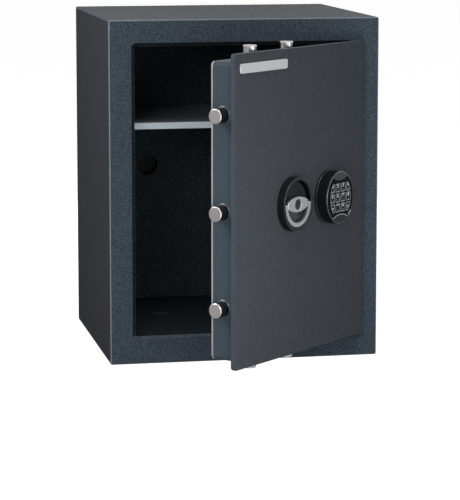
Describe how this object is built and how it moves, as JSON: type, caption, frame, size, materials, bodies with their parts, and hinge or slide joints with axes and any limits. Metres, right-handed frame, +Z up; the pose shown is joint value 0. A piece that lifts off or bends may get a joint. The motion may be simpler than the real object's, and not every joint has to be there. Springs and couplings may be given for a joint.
{
  "type": "home safe",
  "caption": "Upright home safe with a double-walled cabinet, one shelf, and a hinged door with keypad, quarter-turn handle and multi-way bolts.",
  "frame": {"origin": "centre of the cabinet's base, on the floor", "axes": "+Z up, front of the cabinet towards -Y, hinges on the +X side"},
  "size_m": [0.445, 0.665, 0.56],
  "materials": {
    "cabinet_coat": "dark blue-grey fine textured powder coat with a metallic fleck",
    "interior_coat": "dark grey fine textured powder coat",
    "fill_board": "pale cast barrier filling, hidden",
    "pale_sheet": "pale grey smooth powder coat",
    "door_coat": "dark grey fine textured powder coat, satin",
    "pan_coat": "dark blue-grey powder coat",
    "zinc_steel": "zinc plated, satin",
    "bright_steel": "bright plated, turned end faces",
    "satin_metal": "satin plated",
    "black_plastic": "dark grey moulded, fine satin",
    "grey_plastic": "mid grey moulded, satin",
    "key_plastic": "black gloss with pale printed edge and digit",
    "board_green": "circuit board",
    "battery_wrap": "printed wrap, blank"
  },
  "bodies": {
    "cabinet": {"outer_casing": "cabinet_coat", "back_panel": "cabinet_coat", "inner_liner": "interior_coat", "barrier_fill": "fill_board", "shelf": "pale_sheet", "shelf_rail_left": "interior_coat", "shelf_rail_right": "interior_coat", "hinge_bracket_lower": "zinc_steel", "hinge_pin_lower": "zinc_steel", "hinge_bracket_upper": "zinc_steel", "hinge_pin_upper": "zinc_steel"},
    "door": {"door_plate": "door_coat", "door_pan": "pan_coat", "rear_cover": "pale_sheet", "cover_screw_1": "zinc_steel", "cover_screw_2": "zinc_steel", "cover_screw_3": "zinc_steel", "cover_screw_4": "zinc_steel", "hinge_arm_lower": "zinc_steel", "hinge_arm_upper": "zinc_steel", "lock_case": "zinc_steel", "lock_cable": "black_plastic", "spindle_bush": "zinc_steel", "handle_housing": "black_plastic", "keypad_base": "black_plastic", "keypad_housing": "black_plastic", "circuit_board": "board_green", "battery": "battery_wrap", "battery_cover": "grey_plastic", "front_badge": "satin_metal"},
    "side_bolts": {"side_bolt_bottom": "bright_steel", "side_bolt_middle": "bright_steel", "side_bolt_top": "bright_steel", "side_bolt_bar": "zinc_steel"},
    "top_bolts": {"top_bolt_left": "bright_steel", "top_bolt_right": "bright_steel", "top_bolt_bar": "zinc_steel"},
    "bottom_bolts": {"bottom_bolt_left": "bright_steel", "bottom_bolt_right": "bright_steel", "bottom_bolt_bar": "zinc_steel"},
    "handle": {"handle_hub": "satin_metal", "spindle": "zinc_steel", "pinion": "zinc_steel"},
    "pull_ring": {"pull_ring": "satin_metal"},
    "lock_bolt": {"lock_bolt": "bright_steel"},
    "key_1": {"key_1": "key_plastic"},
    "key_2": {"key_2": "key_plastic"},
    "key_3": {"key_3": "key_plastic"},
    "key_4": {"key_4": "key_plastic"},
    "key_5": {"key_5": "key_plastic"},
    "key_6": {"key_6": "key_plastic"},
    "key_7": {"key_7": "key_plastic"},
    "key_8": {"key_8": "key_plastic"},
    "key_9": {"key_9": "key_plastic"},
    "key_10": {"key_10": "key_plastic"},
    "key_11": {"key_11": "key_plastic"},
    "key_12": {"key_12": "key_plastic"}
  },
  "joints": [
    {"name": "door_hinge", "type": "hinge", "parent": "cabinet", "child": "door", "pos_m": [0.193, -0.1914, 0.28], "axis": [0, 0, 1], "range_deg": [-43.6, 54.4]},
    {"name": "handle_turn", "type": "hinge", "parent": "door", "child": "handle", "pos_m": [0.04605, -0.36393, 0.27975], "axis": [-0.6896, 0.7242, 0], "range_deg": [0, 90]},
    {"name": "side_bolt_slide", "type": "slide", "parent": "door", "child": "side_bolts", "axis": [0.7242, 0.6896, 0], "range_m": [0, 0.02101]},
    {"name": "top_bolt_slide", "type": "slide", "parent": "door", "child": "top_bolts", "axis": [0, 0, -1], "range_m": [0, 0.02101]},
    {"name": "bottom_bolt_slide", "type": "slide", "parent": "door", "child": "bottom_bolts", "axis": [0, 0, 1], "range_m": [0, 0.02101]},
    {"name": "pull_ring_flip", "type": "hinge", "parent": "handle", "child": "pull_ring", "pos_m": [0.04832, -0.36632, 0.27925], "axis": [-0.7242, -0.6896, 0], "range_deg": [0, 90]},
    {"name": "lock_slide", "type": "slide", "parent": "door", "child": "lock_bolt", "axis": [0, 0, 1], "range_m": [0, 0.009]},
    {"name": "key_1_press", "type": "slide", "parent": "door", "child": "key_1", "axis": [-0.6896, 0.7242, 0], "range_m": [0, 0.0012], "stiffness_N_per_m": 400},
    {"name": "key_2_press", "type": "slide", "parent": "door", "child": "key_2", "axis": [-0.6896, 0.7242, 0], "range_m": [0, 0.0012], "stiffness_N_per_m": 400},
    {"name": "key_3_press", "type": "slide", "parent": "door", "child": "key_3", "axis": [-0.6896, 0.7242, 0], "range_m": [0, 0.0012], "stiffness_N_per_m": 400},
    {"name": "key_4_press", "type": "slide", "parent": "door", "child": "key_4", "axis": [-0.6896, 0.7242, 0], "range_m": [0, 0.0012], "stiffness_N_per_m": 400},
    {"name": "key_5_press", "type": "slide", "parent": "door", "child": "key_5", "axis": [-0.6896, 0.7242, 0], "range_m": [0, 0.0012], "stiffness_N_per_m": 400},
    {"name": "key_6_press", "type": "slide", "parent": "door", "child": "key_6", "axis": [-0.6896, 0.7242, 0], "range_m": [0, 0.0012], "stiffness_N_per_m": 400},
    {"name": "key_7_press", "type": "slide", "parent": "door", "child": "key_7", "axis": [-0.6896, 0.7242, 0], "range_m": [0, 0.0012], "stiffness_N_per_m": 400},
    {"name": "key_8_press", "type": "slide", "parent": "door", "child": "key_8", "axis": [-0.6896, 0.7242, 0], "range_m": [0, 0.0012], "stiffness_N_per_m": 400},
    {"name": "key_9_press", "type": "slide", "parent": "door", "child": "key_9", "axis": [-0.6896, 0.7242, 0], "range_m": [0, 0.0012], "stiffness_N_per_m": 400},
    {"name": "key_10_press", "type": "slide", "parent": "door", "child": "key_10", "axis": [-0.6896, 0.7242, 0], "range_m": [0, 0.0012], "stiffness_N_per_m": 400},
    {"name": "key_11_press", "type": "slide", "parent": "door", "child": "key_11", "axis": [-0.6896, 0.7242, 0], "range_m": [0, 0.0012], "stiffness_N_per_m": 400},
    {"name": "key_12_press", "type": "slide", "parent": "door", "child": "key_12", "axis": [-0.6896, 0.7242, 0], "range_m": [0, 0.0012], "stiffness_N_per_m": 400}
  ],
  "couplings": [
    {"joint": "side_bolt_slide", "follows": "handle_turn", "m_per_rad": 0.013369},
    {"joint": "top_bolt_slide", "follows": "handle_turn", "m_per_rad": 0.013369},
    {"joint": "bottom_bolt_slide", "follows": "handle_turn", "m_per_rad": 0.013369}
  ]
}
